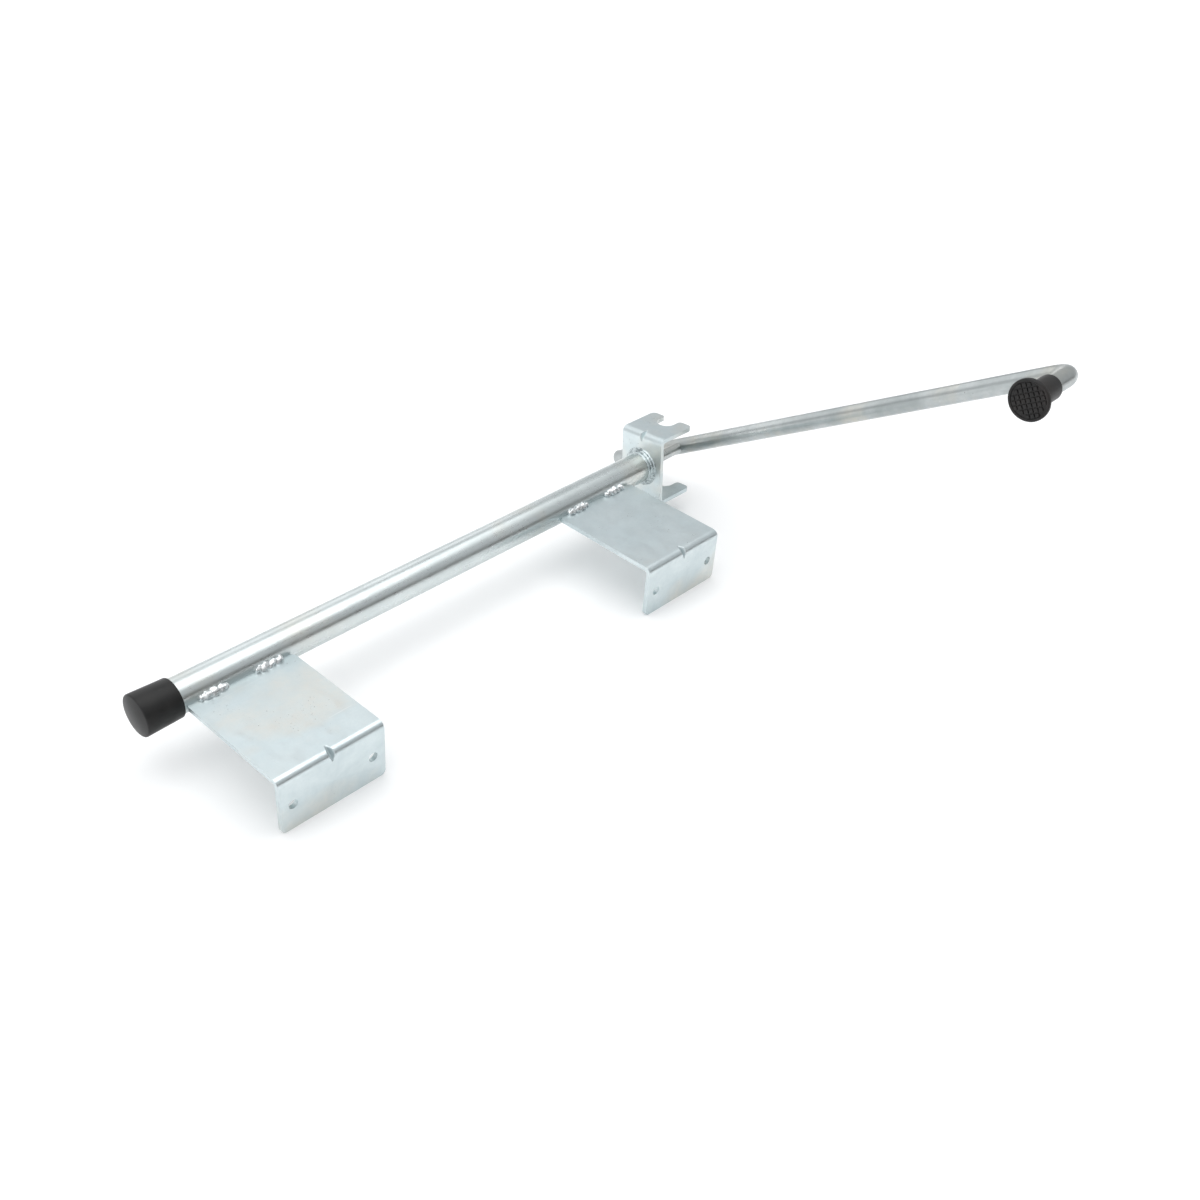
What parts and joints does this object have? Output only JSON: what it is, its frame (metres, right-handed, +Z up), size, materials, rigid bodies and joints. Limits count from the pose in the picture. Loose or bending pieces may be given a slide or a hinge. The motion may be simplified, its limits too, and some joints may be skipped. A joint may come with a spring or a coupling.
{
  "type": "door security bar",
  "caption": "Steel door bar: a tube on welded screw brackets, a slotted fork at one end and a turning crank arm with a rubber foot.",
  "frame": {"origin": "midway between the two screw holes of the front bracket, on the outer face of its flange", "axes": "+X along the bar from the capped end towards the fork, +Y from the flange's outer face towards the bar, +Z up"},
  "size_m": [0.4735, 0.352, 0.2251],
  "materials": {
    "tube_zinc": "bright zinc plating, glossy with faint mottling",
    "sheet_zinc": "zinc plating, satin, mottled with faint yellow patches",
    "rod_zinc": "bright zinc plating on drawn rod",
    "weld_zinc": "plated weld bead, lumpy and bright",
    "bush_steel": "turned steel, lightly oiled",
    "nut_plastic": "moulded nylon ring",
    "black_rubber": "moulded rubber, satin"
  },
  "bodies": {
    "bar": {"main_tube": "tube_zinc", "end_cap": "black_rubber", "front_bracket": "sheet_zinc", "rear_bracket": "sheet_zinc", "fork_bracket": "sheet_zinc", "front_bracket_welds": "weld_zinc", "rear_bracket_welds": "weld_zinc", "fork_weld": "weld_zinc", "guide_bush": "bush_steel"},
    "draw_carriage": {"stop_washer": "bush_steel"},
    "arm": {"turn_shaft": "rod_zinc", "lock_nut": "bush_steel", "nut_insert": "nut_plastic", "swing_arm": "rod_zinc", "arm_weld": "weld_zinc", "foot_washer": "bush_steel", "rubber_foot": "black_rubber"}
  },
  "joints": [
    {"name": "arm_draw", "type": "slide", "parent": "bar", "child": "draw_carriage", "axis": [1, 0, 0], "range_m": [-0.006, 0.012]},
    {"name": "arm_turn", "type": "hinge", "parent": "draw_carriage", "child": "arm", "pos_m": [0.4025, 0.094, 0.0206], "axis": [1, 0, 0], "continuous": true}
  ]
}
